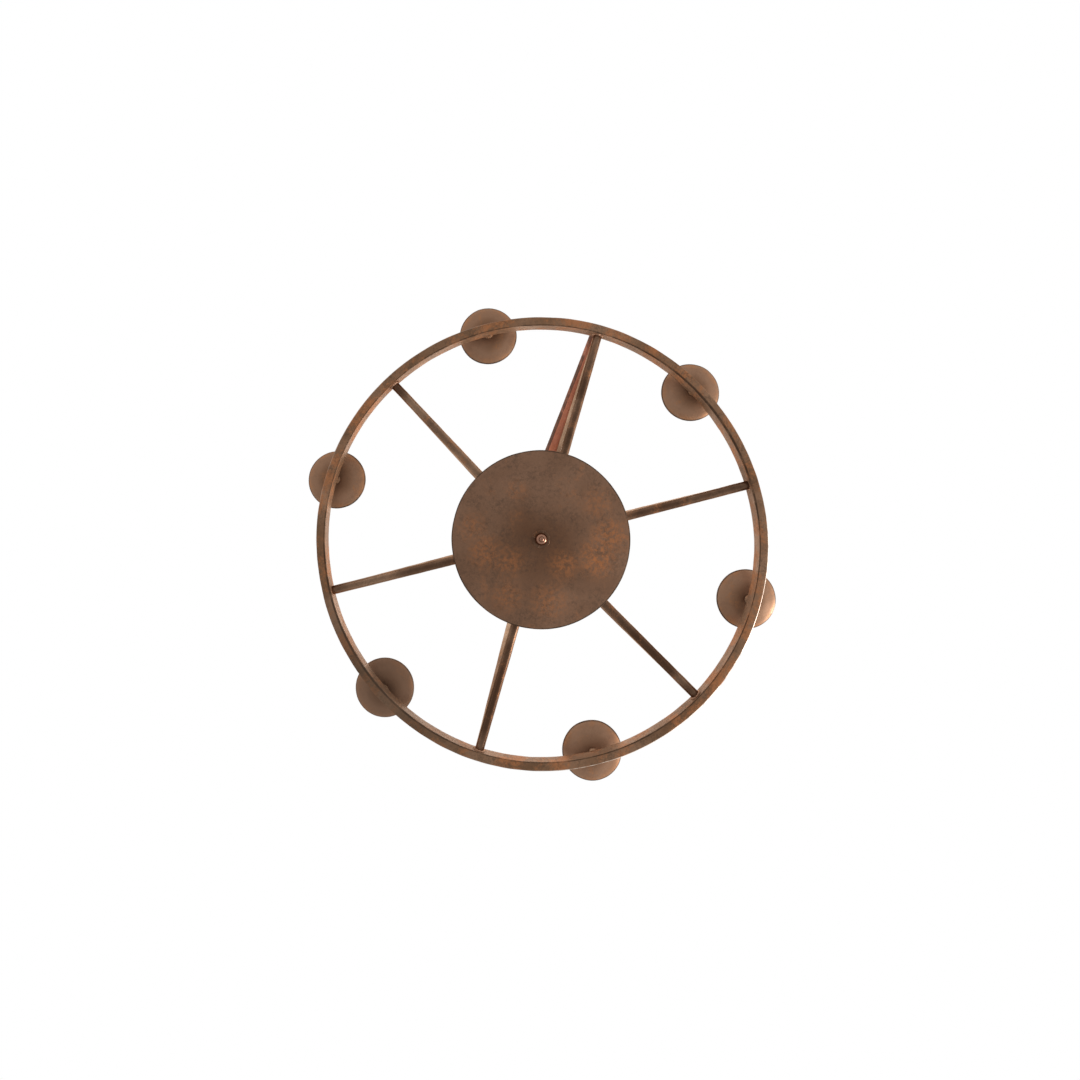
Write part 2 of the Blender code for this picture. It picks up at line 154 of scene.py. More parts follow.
def makeWear():
    # brighter along outer edges, in broken stretches
    group, given, result = newGroup("edgeWear", [("Vector", None), ("Amount", 0.6)], ["Wear"])
    pointed = addNode(group, "ShaderNodeNewGeometry").outputs["Pointiness"]
    edges = smoothRange(group, pointed, wearBreaks["edgeFrom"], wearBreaks["edgeTo"])
    breaks = noiseNode(group, given["Vector"], wearBreaks["scale"], detail=5.0, rough=0.65)
    breaks = smoothRange(group, breaks, low=0.36, high=0.62)
    wearAndHighlight = mathNode(group, "MULTIPLY", mathNode(group, "MULTIPLY", edges, breaks), given["Amount"])
    group.links.new(wearAndHighlight, result["Wear"])
    return group


def makeGrain():
    # the skin of the patina: soft lumps with fine grit and a few pits
    group, given, result = newGroup("patinaGrain", [("Vector", None), ("Scale", 420.0)], ["Height", "Grit"])
    place = given["Vector"]
    grit = noiseNode(group, place, given["Scale"], detail=6.0, rough=0.62)
    lumpScale = mathNode(group, "MULTIPLY", given["Scale"], grainShares["lumpScale"])
    lumps = noiseNode(group, place, lumpScale, detail=3.0, rough=0.5)
    pitScale = mathNode(group, "MULTIPLY", given["Scale"], grainShares["pitScale"])
    cells = addNode(group, "ShaderNodeTexVoronoi", {"Vector": place, "Scale": pitScale}).outputs["Distance"]
    pits = smoothRange(group, cells, 0.0, grainShares["pitSize"], toHigh=grainShares["pits"])
    body = mathNode(group, "ADD", mathNode(group, "MULTIPLY", grit, grainShares["grit"]),
                    mathNode(group, "MULTIPLY", lumps, grainShares["lumps"]))
    group.links.new(mathNode(group, "ADD", body, pits), result["Height"])
    group.links.new(grit, result["Grit"])
    return group


def makeDust():
    # a thin film of dust on faces that look up
    group, given, result = newGroup("settledDust", [("Vector", None), ("Amount", 0.3)], ["Dust"])
    normal = addNode(group, "ShaderNodeNewGeometry").outputs["Normal"]
    up = addNode(group, "ShaderNodeSeparateXYZ", {0: normal}).outputs["Z"]
    flat = smoothRange(group, up, dustLook["flatFrom"], dustLook["flatTo"])
    drift = noiseNode(group, given["Vector"], dustLook["driftScale"], detail=5.0, rough=0.6)
    drift = smoothRange(group, drift, low=0.35, high=0.7, toLow=dustLook["driftLeast"])
    film = mathNode(group, "MULTIPLY", mathNode(group, "MULTIPLY", flat, drift), given["Amount"])
    group.links.new(film, result["Dust"])
    return group


mottleGroup = makeMottle()
wearGroup = makeWear()
grainGroup = makeGrain()
dustGroup = makeDust()
print("surface effects ready")


# Rust blooms on the bottom plate: azimuth from arm 1, distance from the middle, spread, strength
plateBlooms = [
    (72, 0.094, 0.026, 0.9),
    (92, 0.080, 0.026, 1.0),
    (122, 0.046, 0.020, 0.7),
    (156, 0.084, 0.026, 0.6),
    (195, 0.088, 0.022, 0.55),
    (219, 0.053, 0.022, 0.6),
    (240, 0.076, 0.024, 0.7),
    (263, 0.094, 0.020, 0.6),
    (318, 0.073, 0.015, 0.5),
    (42, 0.091, 0.022, 0.5),
]

# The plate's tone and rust: its own mottle, the blooms above, and painted light that makes it lighter away
# from its middle
plateRustAndLight = dict(mottled=0.35, brokenScale=190.0, slow=0.45, outward=0.55, darkest=0.010, lightest=0.085,
                 bloomReach=1.5, bloomCore=0.2)

# The pans get painted shade, darker round the stem, and are rustier up the rim
panShadeAndRust = dict(slow=0.5, slope=0.5, slopeRise=0.004, rustStart=0.0075, rustFull=0.0035, rust=0.8,
               brokenScale=60.0)

# Painted highlight: a bright line on the ring's lower outer corner, strongest towards one azimuth on the key
# light's side
cornerHighlight = {"azimuth": 85, "from": 0.02, "full": 0.16, "width": 0.0012, "soft": 0.0006,
                "top": 0.0020, "topFull": 0.0012, "faint": 0.15, "brokenScale": 34.0}

# Painted shade: a stretch of the ring, and the pan above it, darker on the side where the light is weakest
shadePatch = dict(centre=(-0.255, -0.155, underside), reach=0.20, core=0.05, depth=0.55)

# Painted shade: dark lines along the plate's hem, the pans' rims, the ring's lower inner corner and the
# strip's folded lip
shadeLines = dict(plateHem=0.1182, hemSoft=0.0005, panRollShade=0.0034, rollSoft=0.0008, rollTop=0.0010,
                 rollTopFull=0.0005, ringCorner=0.0018, cornerFull=0.0003,
                 brokenScale=38.0, faint=0.35, depth=0.85, colour=(0.035, 0.022, 0.015))

# Where the strip folds: across its width at its foot and at its top, which lie at these X
foldLine = dict(footX=0.2950, topX=0.0320, footWide=0.0055, topWide=0.0260, soft=0.0006)

# The same on every finish
surface = dict(gloss=0.3, tint=(0.80, 0.58, 0.44, 1.0), bloomRough=0.10, bumpDistance=0.0006)

finishes = {
    # on the ring the near-white worn colour is a painted highlight along its lower outer corner
    "ringPatina": dict(
        dark=(0.190, 0.102, 0.055), light=(0.345, 0.201, 0.124), bloom=(0.480, 0.190, 0.078),
        speck=(0.080, 0.054, 0.037), wearAndHighlight=(0.900, 0.780, 0.680), dust=(0.30, 0.25, 0.21),
        cover=0.50, bloomShare=0.70, speckShare=0.65, metallic=0.40, rough=(0.44, 0.62), gloss=0.10,
        bloomScale=30.0, grainScale=420.0, bump=0.22),
    "barPatina": dict(
        dark=(0.095, 0.048, 0.028), light=(0.310, 0.190, 0.122), bloom=(0.440, 0.180, 0.075),
        speck=(0.055, 0.032, 0.021), wearAndHighlight=(0.520, 0.300, 0.190), dust=(0.30, 0.25, 0.21),
        cover=0.40, bloomShare=0.5, speckShare=0.50, wear=0.7, metallic=0.85, rough=(0.24, 0.42),
        bloomScale=42.0, grainScale=460.0, bump=0.20),
    # painted light: a lighter copy of the bars' finish for the stays, whose sides catch more of the lights
    "litStayPatina": dict(
        dark=(0.230, 0.128, 0.078), light=(0.560, 0.370, 0.245), bloom=(0.620, 0.300, 0.140),
        speck=(0.090, 0.052, 0.034), wearAndHighlight=(0.620, 0.400, 0.270), dust=(0.30, 0.25, 0.21),
        cover=0.40, bloomShare=0.5, speckShare=0.40, wear=0.7, metallic=0.75, rough=(0.24, 0.42),
        bloomScale=42.0, grainScale=460.0, bump=0.20),
    "stripCopper": dict(
        dark=(0.470, 0.160, 0.092), light=(0.640, 0.245, 0.150), bloom=(0.580, 0.180, 0.082),
        speck=(0.200, 0.075, 0.045), wearAndHighlight=(0.620, 0.340, 0.230), dust=(0.34, 0.27, 0.22),
        cover=0.40, bloomShare=0.5, speckShare=0.3, wear=0.6, metallic=0.45, rough=(0.40, 0.60),
        bloomScale=42.0, grainScale=460.0, bump=0.18),
    "platePatina": dict(
        dark=(0.146, 0.071, 0.039), light=(0.248, 0.139, 0.087), bloom=(0.480, 0.182, 0.066),
        speck=(0.075, 0.050, 0.036), wearAndHighlight=(0.300, 0.180, 0.120), dust=(0.30, 0.25, 0.21),
        cover=0.34, bloomShare=0.80, speckShare=0.62, wear=0.15, metallic=0.45, rough=(0.46, 0.66),
        bloomScale=24.0, grainScale=380.0, bump=0.26),
    "panPatina": dict(
        dark=(0.200, 0.104, 0.058), light=(0.345, 0.200, 0.126), bloom=(0.460, 0.190, 0.072),
        speck=(0.150, 0.090, 0.060), wearAndHighlight=(0.480, 0.300, 0.210), dust=(0.32, 0.27, 0.23),
        cover=0.34, bloomShare=0.55, speckShare=0.30, wear=0.4, metallic=0.50, rough=(0.34, 0.48),
        bloomScale=34.0, grainScale=520.0, bump=0.12),
    "finialBronze": dict(
        dark=(0.200, 0.098, 0.064), light=(0.330, 0.180, 0.122), bloom=(0.260, 0.105, 0.060),
        speck=(0.080, 0.045, 0.030), wearAndHighlight=(0.620, 0.380, 0.270), dust=(0.30, 0.25, 0.21),
        cover=0.25, bloomShare=0.3, speckShare=0.2, wear=0.5, metallic=0.90, rough=(0.12, 0.20), gloss=0.8,
        bloomScale=90.0, grainScale=700.0, bump=0.06),
    "weldMetal": dict(
        dark=(0.200, 0.105, 0.065), light=(0.420, 0.240, 0.155), bloom=(0.400, 0.160, 0.075),
        speck=(0.090, 0.060, 0.042), wearAndHighlight=(0.580, 0.360, 0.240), dust=(0.30, 0.25, 0.21),
        cover=0.45, bloomShare=0.5, speckShare=0.4, wear=0.9, metallic=0.75, rough=(0.34, 0.56),
        bloomScale=120.0, grainScale=700.0, bump=0.30),
    "plainSteel": dict(
        dark=(0.260, 0.245, 0.225), light=(0.460, 0.445, 0.420), bloom=(0.240, 0.130, 0.070),
        speck=(0.140, 0.120, 0.100), wearAndHighlight=(0.620, 0.600, 0.570), dust=(0.34, 0.31, 0.28),
        cover=0.28, bloomShare=0.5, speckShare=0.2, wear=0.6, metallic=1.0, rough=(0.26, 0.42),
        bloomScale=110.0, grainScale=900.0, bump=0.08),
}
finishes["cupPatina"] = dict(finishes["panPatina"])


def bloomField(tree, place, noisy):
    # soft round fields at the plate's blooms, broken up by a noise
    field = None
    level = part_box("bottom_plate")[0].z
    for azimuth, distance, spread, strength in plateBlooms:
        centre = polar(distance, math.radians(azimuth), level)
        apart = addNode(tree, "ShaderNodeVectorMath", {0: place, 1: centre}, operation="DISTANCE")
        near = smoothRange(tree, apart.outputs["Value"], spread * plateRustAndLight["bloomReach"],
                           spread * plateRustAndLight["bloomCore"], toHigh=strength)
        field = near if field is None else mathNode(tree, "MAXIMUM", field, near)
    return mathNode(tree, "MULTIPLY", field, noisy)


def ringCornerHighlight(tree, place, fromAxis, height):
    # mask of the painted highlight, a bright line on the ring's lower outer corner
    turn = math.radians(cornerHighlight["azimuth"])
    toward = addNode(tree, "ShaderNodeVectorMath", {0: place, 1: (math.cos(turn), math.sin(turn), 0.0)},
                     operation="DOT_PRODUCT").outputs["Value"]
    side = smoothRange(tree, toward, cornerHighlight["from"], cornerHighlight["full"], toLow=cornerHighlight["faint"])
    start = ring["outer"] - cornerHighlight["width"]
    outside = smoothRange(tree, fromAxis, start, start + cornerHighlight["soft"])
    low = smoothRange(tree, height, underside + cornerHighlight["top"], underside + cornerHighlight["topFull"])
    breaks = noiseNode(tree, place, cornerHighlight["brokenScale"], detail=5.0, rough=0.6)
    breaks = smoothRange(tree, breaks, low=0.34, high=0.56, toLow=cornerHighlight["faint"])
    corner = mathNode(tree, "MULTIPLY", outside, low)
    return mathNode(tree, "MULTIPLY", corner, mathNode(tree, "MULTIPLY", side, breaks))


def ringCornerShade(tree, fromAxis, height):
    # mask of the painted shade line on the ring's lower inner corner
    width, full = shadeLines["ringCorner"], shadeLines["cornerFull"]
    low = smoothRange(tree, height, underside + width, underside + full)
    inside = smoothRange(tree, fromAxis, ringInner + width, ringInner + full)
    return mathNode(tree, "MULTIPLY", low, inside)


def panRollShade(tree, height, top):
    # mask of the painted shade line along a pan's rolled rim
    above = smoothRange(tree, height, top + shadeLines["rollTop"], top + shadeLines["rollTopFull"])
    start = top - shadeLines["panRollShade"]
    shadeLine = smoothRange(tree, height, start, start + shadeLines["rollSoft"])
    return mathNode(tree, "MULTIPLY", shadeLine, above)


def lipShade(tree, place):
    # mask of the painted shade on the strip beyond its fold, whose distance from the middle grows towards the
    # centre
    parts = addNode(tree, "ShaderNodeSeparateXYZ", {0: place}).outputs
    fold = smoothRange(tree, parts["X"], foldLine["footX"], foldLine["topX"],
                       foldLine["footWide"], foldLine["topWide"])
    fold.node.interpolation_type = "LINEAR"
    beyond = mathNode(tree, "SUBTRACT", mathNode(tree, "MULTIPLY", parts["Y"], -1.0), fold)
    return smoothRange(tree, beyond, -foldLine["soft"], foldLine["soft"])


def addShares(tree, first, firstShare, second, secondShare):
    return mathNode(tree, "ADD", mathNode(tree, "MULTIPLY", first, firstShare),
                    mathNode(tree, "MULTIPLY", second, secondShare))


def makeFinish(name):
    look = finishes[name]
    material = bpy.data.materials.new(name)
    material.use_nodes = True
    tree = material.node_tree
    shader = tree.nodes["Principled BSDF"]
    place = addNode(tree, "ShaderNodeTexCoord").outputs["Object"]
    mottle = useGroup(tree, mottleGroup, {
        "Vector": place, "Bloom Scale": look["bloomScale"], "Bloom Cover": look["cover"]})
    grain = useGroup(tree, grainGroup, {"Vector": place, "Scale": look["grainScale"]})
    dust = useGroup(tree, dustGroup, {"Vector": place, "Amount": dustLook["cover"]})

    flatPlace = addNode(tree, "ShaderNodeVectorMath", {0: place, 1: (1.0, 1.0, 0.0)}, operation="MULTIPLY")
    fromAxis = addNode(tree, "ShaderNodeVectorMath", {0: flatPlace.outputs["Vector"]}, operation="LENGTH")
    fromAxis = fromAxis.outputs["Value"]
    height = addNode(tree, "ShaderNodeSeparateXYZ", {0: place}).outputs["Z"]
    toneAndShading, blooms, shadeLine = mottle["Tone"], mottle["Blooms"], None
    if name == "ringPatina":
        # the ring has no edge wear: its near-white worn colour goes only on the painted highlight of its
        # outer corner
        wearAndHighlight = ringCornerHighlight(tree, place, fromAxis, height)
        shadeLine = ringCornerShade(tree, fromAxis, height)
    else:
        wearAndHighlight = useGroup(tree, wearGroup, {"Vector": place, "Amount": look["wear"]})["Wear"]
    if name == "platePatina":
        broken = noiseNode(tree, place, plateRustAndLight["brokenScale"], detail=5.0, rough=0.7)
        placed = bloomField(tree, place, smoothRange(tree, broken, low=0.38, high=0.62))
        blooms = mathNode(tree, "MAXIMUM", mathNode(tree, "MULTIPLY", blooms, plateRustAndLight["mottled"]), placed)
        # painted light: lighter away from the plate's middle
        outward = smoothRange(tree, fromAxis, plateRustAndLight["darkest"], plateRustAndLight["lightest"])
        toneAndShading = addShares(tree, toneAndShading, plateRustAndLight["slow"], outward, plateRustAndLight["outward"])
        # painted shade line along the plate's hem
        hem = shadeLines["plateHem"]
        shadeLine = smoothRange(tree, fromAxis, hem, hem + shadeLines["hemSoft"])
    if name == "panPatina":
        bottom, top = (corner.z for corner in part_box("pan_1"))
        # painted shade: darker low on the pan, round its stem
        slope = smoothRange(tree, height, bottom, bottom + panShadeAndRust["slopeRise"])
        toneAndShading = addShares(tree, toneAndShading, panShadeAndRust["slow"], slope, panShadeAndRust["slope"])
        rust = smoothRange(tree, height, top - panShadeAndRust["rustStart"], top - panShadeAndRust["rustFull"],
                           toHigh=panShadeAndRust["rust"])
        broken = noiseNode(tree, place, panShadeAndRust["brokenScale"], detail=5.0, rough=0.65)
        broken = smoothRange(tree, broken, low=0.40, high=0.62)
        blooms = mathNode(tree, "MAXIMUM", blooms, mathNode(tree, "MULTIPLY", rust, broken))
        # painted shade line along the pan's rolled rim
        shadeLine = panRollShade(tree, height, top)
    if name == "stripCopper":
        # painted shade on the strip's folded lip
        shadeLine = lipShade(tree, place)

    # random tone, with the plate's painted light and the pans' painted shade mixed in
    colour = mixColour(tree, toneAndShading, look["dark"], look["light"])
    colour = mixColour(tree, mathNode(tree, "MULTIPLY", blooms, look["bloomShare"]), colour, look["bloom"])
    speckled = mathNode(tree, "MULTIPLY", mottle["Specks"], look["speckShare"])
    colour = mixColour(tree, speckled, colour, look["speck"])
    # edge wear, and on the ring the painted corner highlight
    colour = mixColour(tree, wearAndHighlight, colour, look["wearAndHighlight"])
    # painted shade lines, where a finish has one
    if shadeLine is not None:
        broken = noiseNode(tree, place, shadeLines["brokenScale"], detail=4.0, rough=0.6)
        broken = smoothRange(tree, broken, 0.32, 0.55, shadeLines["faint"], shadeLines["depth"])
        colour = mixColour(tree, mathNode(tree, "MULTIPLY", shadeLine, broken), colour, shadeLines["colour"])
    # painted shade: the darker stretch of ring and pan
    if name in ("ringPatina", "panPatina"):
        apart = addNode(tree, "ShaderNodeVectorMath", {0: place, 1: shadePatch["centre"]},
                        operation="DISTANCE").outputs["Value"]
        patchShade = smoothRange(tree, apart, shadePatch["reach"], shadePatch["core"], toHigh=shadePatch["depth"])
        colour = mixColour(tree, patchShade, colour, look["speck"])
    colour = mixColour(tree, dust["Dust"], colour, look["dust"])
    tree.links.new(colour, shader.inputs["Base Color"])

    smooth, dull = look["rough"]
    roughness = smoothRange(tree, grain["Grit"], 0.3, 0.7, smooth, dull)
    roughness = mathNode(tree, "ADD", roughness, mathNode(tree, "MULTIPLY", blooms, surface["bloomRough"]))
    tree.links.new(roughness, shader.inputs["Roughness"])
    metal = mathNode(tree, "MULTIPLY_ADD", wearAndHighlight, 1.0 - look["metallic"])
    metal.node.inputs[2].default_value = look["metallic"]
    tree.links.new(metal, shader.inputs["Metallic"])
    shader.inputs["Specular IOR Level"].default_value = look.get("gloss", surface["gloss"])
    shader.inputs["Specular Tint"].default_value = surface["tint"]
    bump = addNode(tree, "ShaderNodeBump", {
        "Strength": look["bump"], "Distance": surface["bumpDistance"], "Height": grain["Height"]})
    tree.links.new(bump.outputs["Normal"], shader.inputs["Normal"])
    return material


def polar(radius, angle, z):
    # z is in the frame, not a level above the ring
    return Vector((radius * math.cos(angle), radius * math.sin(angle), z))


def arc(centreR, centreZ, radius, start, end, steps):
    # points of a profile, angles in degrees
    turns = [math.radians(start + (end - start) * i / steps) for i in range(steps + 1)]
    return [(centreR + radius * math.cos(a), centreZ + radius * math.sin(a)) for a in turns]


def spinProfile(points, steps, closed=False):
    shape = bmesh.new()
    corners = [shape.verts.new((r, 0, z)) for r, z in points]
    pairs = list(zip(corners, corners[1:])) + ([(corners[-1], corners[0])] if closed else [])
    edges = [shape.edges.new(pair) for pair in pairs]
    bmesh.ops.spin(shape, geom=corners + edges, cent=(0, 0, 0), axis=(0, 0, 1), dvec=(0, 0, 0),
                   angle=math.tau, steps=steps, use_merge=True)
    bmesh.ops.remove_doubles(shape, verts=shape.verts, dist=0.000001)
    bmesh.ops.recalc_face_normals(shape, faces=shape.faces)
    return shape


def bevelSharp(shape, width, segments=3, angle=30):
    limit = math.radians(angle)
    sharp = [e for e in shape.edges if len(e.link_faces) == 2 and e.calc_face_angle() > limit]
    bmesh.ops.bevel(shape, geom=sharp, offset=width, offset_type="OFFSET", segments=segments,
                    profile=0.5, affect="EDGES", material=-1, clamp_overlap=True)


def handWork(shape, amount, size, shift=0.0):
    # the small unevenness of hand-worked metal
    shape.normal_update()
    moves = [(v, v.normal * amount * noise.noise(v.co / size + Vector((shift, 0, 0)))) for v in shape.verts]
    for v, move in moves:
        v.co += move


def barShape(start, end, radius, sides=28, cuts=40, tip=0.0006):
    length = (end - start).length
    shape = bmesh.new()
    bmesh.ops.create_cone(shape, cap_ends=True, segments=sides, radius1=radius, radius2=radius, depth=length)
    bevelSharp(shape, tip, segments=2, angle=60)
    long = [e for e in shape.edges if abs(e.verts[0].co.z - e.verts[1].co.z) > length / 2]
    bmesh.ops.subdivide_edges(shape, edges=long, cuts=cuts, use_grid_fill=True)
    turn = (end - start).to_track_quat("Z", "Y").to_matrix().to_4x4()
    bmesh.ops.transform(shape, matrix=Matrix.Translation((start + end) / 2) @ turn, verts=shape.verts)
    return shape


def wireRing(radius, wire, around=72, across=20):
    # a ring of round wire about Z
    shape = bmesh.new()
    bmesh.ops.create_circle(shape, segments=across, radius=wire,
                            matrix=Matrix.Translation((radius, 0, 0)) @ Matrix.Rotation(math.pi / 2, 4, "X"))
    bmesh.ops.spin(shape, geom=shape.verts[:] + shape.edges[:], cent=(0, 0, 0), axis=(0, 0, 1),
                   dvec=(0, 0, 0), angle=math.tau, steps=around, use_merge=True)
    bmesh.ops.remove_doubles(shape, verts=shape.verts, dist=0.000001)
    bmesh.ops.recalc_face_normals(shape, faces=shape.faces)
    return shape


# Weld beads are wire rings with ripples and lumps, and blobs are lumpy balls
bead = dict(thickness=0.0017, around=44, across=10, ripples=13, ripple=0.14, lump=0.22, lumpScale=220,
            blobLump=0.16, blobScale=2.6)


def weldBead(shape, centre, axis, radius, shift):
    # adds one rippled bead round a bar's end to shape
    rope = wireRing(radius, bead["thickness"], bead["around"], bead["across"])
    for v in rope.verts:
        angle = math.atan2(v.co.y, v.co.x)
        middle = Vector((radius * math.cos(angle), radius * math.sin(angle), 0))
        lump = bead["lump"] * noise.noise(v.co * bead["lumpScale"] + Vector((shift, 0, 0)))
        ripple = 1 + bead["ripple"] * math.sin(bead["ripples"] * angle + shift) + lump
        v.co = middle + (v.co - middle) * ripple
    turn = axis.to_track_quat("Z", "Y").to_matrix().to_4x4()
    bmesh.ops.transform(rope, matrix=Matrix.Translation(centre) @ turn, verts=rope.verts)
    joinShape(shape, rope)


def weldBlob(shape, centre, sizes, angle, shift):
    blob = bmesh.new()
    bmesh.ops.create_icosphere(blob, subdivisions=4, radius=1.0)
    for v in blob.verts:
        v.co *= 1 + bead["blobLump"] * noise.noise(v.co * bead["blobScale"] + Vector((shift, 0, 0)))
    bmesh.ops.scale(blob, vec=sizes, verts=blob.verts)
    turn = Matrix.Rotation(angle, 4, "Z")
    bmesh.ops.transform(blob, matrix=Matrix.Translation(centre) @ turn, verts=blob.verts)
    joinShape(shape, blob)


def joinShape(shape, other):
    mesh = bpy.data.meshes.new("joined")
    other.to_mesh(mesh)
    other.free()
    shape.from_mesh(mesh)
    bpy.data.meshes.remove(mesh)


def finishPiece(shape, name, finish, nodes=(), body="chandelier", smooth=35):
    mesh = bpy.data.meshes.new(name)
    shape.to_mesh(mesh)
    shape.free()
    mesh.shade_smooth()
    mesh.set_sharp_from_angle(angle=math.radians(smooth))
    mesh.materials.append(materials[finish])
    piece = bpy.data.objects.new(name, mesh)
    bpy.context.scene.collection.objects.link(piece)
    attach(piece, body)
    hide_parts(*nodes)
    return piece


materials = {name: makeFinish(name) for name in finishes}
print("finishes ready:", len(materials))


def makeRing():
    low, high = underside, underside + ring["height"]
    levels = ring["levels"]
    wallUp = [(ring["outer"], low + (high - low) * i / levels) for i in range(levels + 1)]
    wallDown = [(ringInner, z) for _, z in reversed(wallUp)]
    middle = ringInner + ring["thickness"] / 2
    shape = spinProfile(wallUp + [(middle, high)] + wallDown + [(middle, low)], ring["steps"], closed=True)
    bevelSharp(shape, ring["corner"], segments=3, angle=60)
    for v in shape.verts:
        angle = math.atan2(v.co.y, v.co.x)
        way = Vector((math.cos(angle), math.sin(angle), 0))
        lean = ring["wave"] * noise.noise(way * ring["waveCount"] + Vector((0, 0, ring["waveShift"])))
        lean -= ring["flat"] * max(0, math.cos(2 * (angle - math.radians(ring["flatAt"])))) ** 2
        v.co += way * lean
    handWork(shape, ring["dents"], ring["dentSize"], 3.0)
    finishPiece(shape, "rolled_ring", "ringPatina", ["ring"])


makeRing()
print("ring made")


# Level bars, stays and their welds. Bar and stay are diameters, hub and collar the radii they end at,
# barLevel and apex their heights, sink and staySink how far their ends reach into the next piece.
arms = dict(bar=0.012, stay=0.010, barLevel=0.0125, apex=0.318, hub=0.028, collar=0.022,
            sink=0.0006, staySink=0.0026, stayCuts=56, dents=0.00022, dentSize=0.014, beadOut=0.0004,
            footOut=0.0008, footUp=0.0006, footBlob=(0.0050, 0.0058, 0.0040),
            topOut=0.0012, topBlob=(0.0040, 0.0060, 0.0082))


def stayLine():
    # both ends of a stay's axis as (radius, level) where it meets the ring's top and the collar
    radius = arms["stay"] / 2
    rise = arms["apex"] - ring["height"]
    foot = ring["outer"] - ring["thickness"] / 2
    slope = math.atan2(rise, foot - arms["collar"])
    for _ in range(8):
        low = (foot, ring["height"] + radius * math.cos(slope))
        high = (arms["collar"] + radius * math.sin(slope), arms["apex"])
        slope = math.atan2(high[1] - low[1], low[0] - high[0])
    return low, high, slope


def makeArms():
    barZ = underside + arms["barLevel"]
    barRadius, stayRadius = arms["bar"] / 2, arms["stay"] / 2
    low, high, _ = stayLine()
    welds = bmesh.new()
    for k, angle in enumerate(armAngles, start=1):
        outward = polar(1, angle, 0)
        bar = barShape(polar(arms["hub"] - arms["sink"], angle, barZ),
                       polar(ringInner + arms["sink"], angle, barZ), barRadius)
        handWork(bar, arms["dents"], arms["dentSize"], k)
        finishPiece(bar, f"round_level_bar_{k}", "barPatina", [f"level_bar_{k}"])
        foot = polar(low[0], angle, underside + low[1])
        top = polar(high[0], angle, underside + high[1])
        sink = (top - foot).normalized() * arms["staySink"]
        stay = barShape(foot - sink, top + sink, stayRadius, cuts=arms["stayCuts"])
        handWork(stay, arms["dents"], arms["dentSize"], 20 + k)
        finishPiece(stay, f"sloping_stay_{k}", "litStayPatina", [f"stay_{k}"])
        for end, shift in ((ringInner, k), (arms["hub"], 9 + k)):
            weldBead(welds, polar(end, angle, barZ), outward, barRadius + arms["beadOut"], shift)
        weldBlob(welds, polar(low[0] + arms["footOut"], angle, underside + ring["height"] + arms["footUp"]),
                 arms["footBlob"], angle, k)
        weldBlob(welds, polar(arms["collar"] + arms["topOut"], angle, underside + arms["apex"]),
                 arms["topBlob"], angle, 30 + k)
    finishPiece(welds, "weld_beads", "weldMetal")


makeArms()
print("arms welded")


# The tapered strip along the first stay's upper side. Widths are beyond the stay's edge.
strip = dict(sheet=0.0012, lip=0.0075, lipAngle=55, wideLow=0.0005, wideHigh=0.021, start=0.006, end=0.014,
             cuts=30, clear=0.0003, corner=0.00035, dents=0.0003, dentSize=0.03)


def makeStrip():
    low, high, slope = stayLine()
    radius = arms["stay"] / 2
    upStay = Vector((-math.cos(slope), 0, math.sin(slope)))
    side = Vector((0, -1, 0))
    away = upStay.cross(side)
    length = math.hypot(high[0] - low[0], high[1] - low[1]) - strip["start"] - strip["end"]
    lipAngle = math.radians(strip["lipAngle"])
    foot = Vector((low[0], 0, underside + low[1])) + upStay * strip["start"]
    foot += away * (radius + strip["clear"] + strip["sheet"] / 2)
    shape = bmesh.new()
    edge = radius + strip["wideLow"]
    folded = (edge + strip["lip"] * math.cos(lipAngle), strip["lip"] * math.sin(lipAngle))
    near = [shape.verts.new((0, across, up)) for across, up in ((-radius / 2, 0), (edge, 0), folded)]
    edges = [shape.edges.new(pair) for pair in zip(near, near[1:])]
    grown = bmesh.ops.extrude_edge_only(shape, edges=edges)["geom"]
    far = [g for g in grown if isinstance(g, bmesh.types.BMVert)]
    bmesh.ops.translate(shape, vec=(length, 0, 0), verts=far)
    spread = strip["wideHigh"] - strip["wideLow"]
    bmesh.ops.translate(shape, vec=(0, spread, 0), verts=[v for v in far if v.co.y > 0])
    long = [e for e in shape.edges if abs(e.verts[0].co.x - e.verts[1].co.x) > length / 2]
    bmesh.ops.subdivide_edges(shape, edges=long, cuts=strip["cuts"], use_grid_fill=True)
    bmesh.ops.recalc_face_normals(shape, faces=shape.faces)
    bmesh.ops.solidify(shape, geom=shape.faces[:], thickness=strip["sheet"])
    bevelSharp(shape, strip["corner"], segments=2, angle=50)
    handWork(shape, strip["dents"], strip["dentSize"], 5)
    matrix = Matrix((upStay, side, away)).transposed().to_4x4()
    bmesh.ops.transform(shape, matrix=Matrix.Translation(foot) @ matrix, verts=shape.verts)
    bmesh.ops.recalc_face_normals(shape, faces=shape.faces)
    finishPiece(shape, "tapered_strip", "stripCopper", ["stay_strip"])


makeStrip()
print("strip made")


# Hub, collar and column tube, with the top washer, the plate's sleeve and the nut
column = dict(rodHole=0.0054, wall=0.0025, hub=0.028, collar=0.022, edge=0.0016, steps=72,
              dents=0.0002, dentSize=0.012, washerEdge=0.0003, sleeveEdge=0.0008, smallSteps=48,
              tubeEdge=0.0003, tubeSteps=36, tubeLevels=60, tubeDents=0.00018, tubeDentSize=0.016,
              nutEdge=0.0005)


def tubeShape(inner, outer, bottom, top, edge, steps, levels=4, segments=3):
    wall = [(outer, bottom + (top - bottom) * i / levels) for i in range(levels + 1)]
    shape = spinProfile(wall + [(inner, top), (inner, bottom)], steps, closed=True)
    bevelSharp(shape, edge, segments, angle=60)
    return shape


